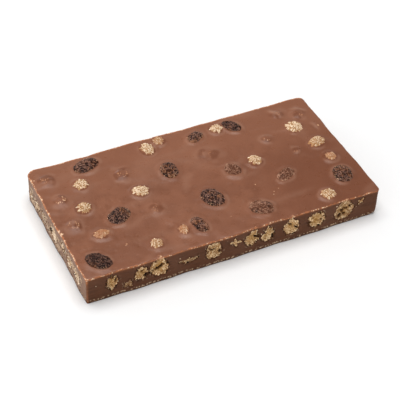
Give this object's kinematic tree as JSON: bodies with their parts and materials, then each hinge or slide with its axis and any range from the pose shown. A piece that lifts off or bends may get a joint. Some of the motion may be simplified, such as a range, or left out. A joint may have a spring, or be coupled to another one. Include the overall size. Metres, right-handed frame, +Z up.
{
  "type": "raisin and biscuit chocolate bar",
  "caption": "Flat rectangular slab of milk chocolate with raisins and crisp biscuit pieces set in its top and showing, cut through, at its sides.",
  "frame": {"origin": "middle of the flat underside", "axes": "+X along the long sides, +Y from the front long side to the back one, +Z up out of the top"},
  "size_m": [0.1204, 0.063, 0.0142],
  "materials": {
    "chocolate": "milk chocolate, satin, slightly uneven",
    "raisin": "dried dark fruit skin, wrinkled, dull sheen",
    "biscuit": "baked pale golden crumb, dry and porous"
  },
  "bodies": {
    "root": {"chocolate": "chocolate", "raisin_01": "raisin", "raisin_02": "raisin", "raisin_03": "raisin", "raisin_04": "raisin", "raisin_05": "raisin", "raisin_06": "raisin", "raisin_07": "raisin", "raisin_08": "raisin", "raisin_09": "raisin", "raisin_10": "raisin", "raisin_11": "raisin", "raisin_12": "raisin", "biscuit_top_01": "biscuit", "biscuit_top_02": "biscuit", "biscuit_top_03": "biscuit", "biscuit_top_04": "biscuit", "biscuit_top_05": "biscuit", "biscuit_top_06": "biscuit", "biscuit_top_07": "biscuit", "biscuit_top_08": "biscuit", "biscuit_top_09": "biscuit", "biscuit_top_10": "biscuit", "biscuit_top_11": "biscuit", "biscuit_top_12": "biscuit", "biscuit_top_13": "biscuit", "biscuit_top_14": "biscuit", "biscuit_front_01": "biscuit", "biscuit_front_02": "biscuit", "biscuit_front_03": "biscuit", "biscuit_front_04": "biscuit", "biscuit_front_05": "biscuit", "biscuit_front_06": "biscuit", "biscuit_front_07": "biscuit", "biscuit_front_08": "biscuit", "biscuit_front_09": "biscuit", "biscuit_front_10": "biscuit", "biscuit_front_11": "biscuit", "biscuit_front_12": "biscuit", "biscuit_front_13": "biscuit", "biscuit_left_01": "biscuit", "biscuit_left_02": "biscuit", "biscuit_left_03": "biscuit", "biscuit_left_04": "biscuit", "biscuit_left_05": "biscuit", "biscuit_left_06": "biscuit", "biscuit_left_07": "biscuit", "biscuit_left_08": "biscuit", "biscuit_back_01": "biscuit", "biscuit_back_02": "biscuit", "biscuit_back_03": "biscuit", "biscuit_back_04": "biscuit", "biscuit_back_05": "biscuit", "biscuit_back_06": "biscuit", "biscuit_back_07": "biscuit", "biscuit_back_08": "biscuit", "biscuit_right_01": "biscuit", "biscuit_right_02": "biscuit", "biscuit_right_03": "biscuit", "biscuit_right_04": "biscuit"}
  },
  "joints": []
}
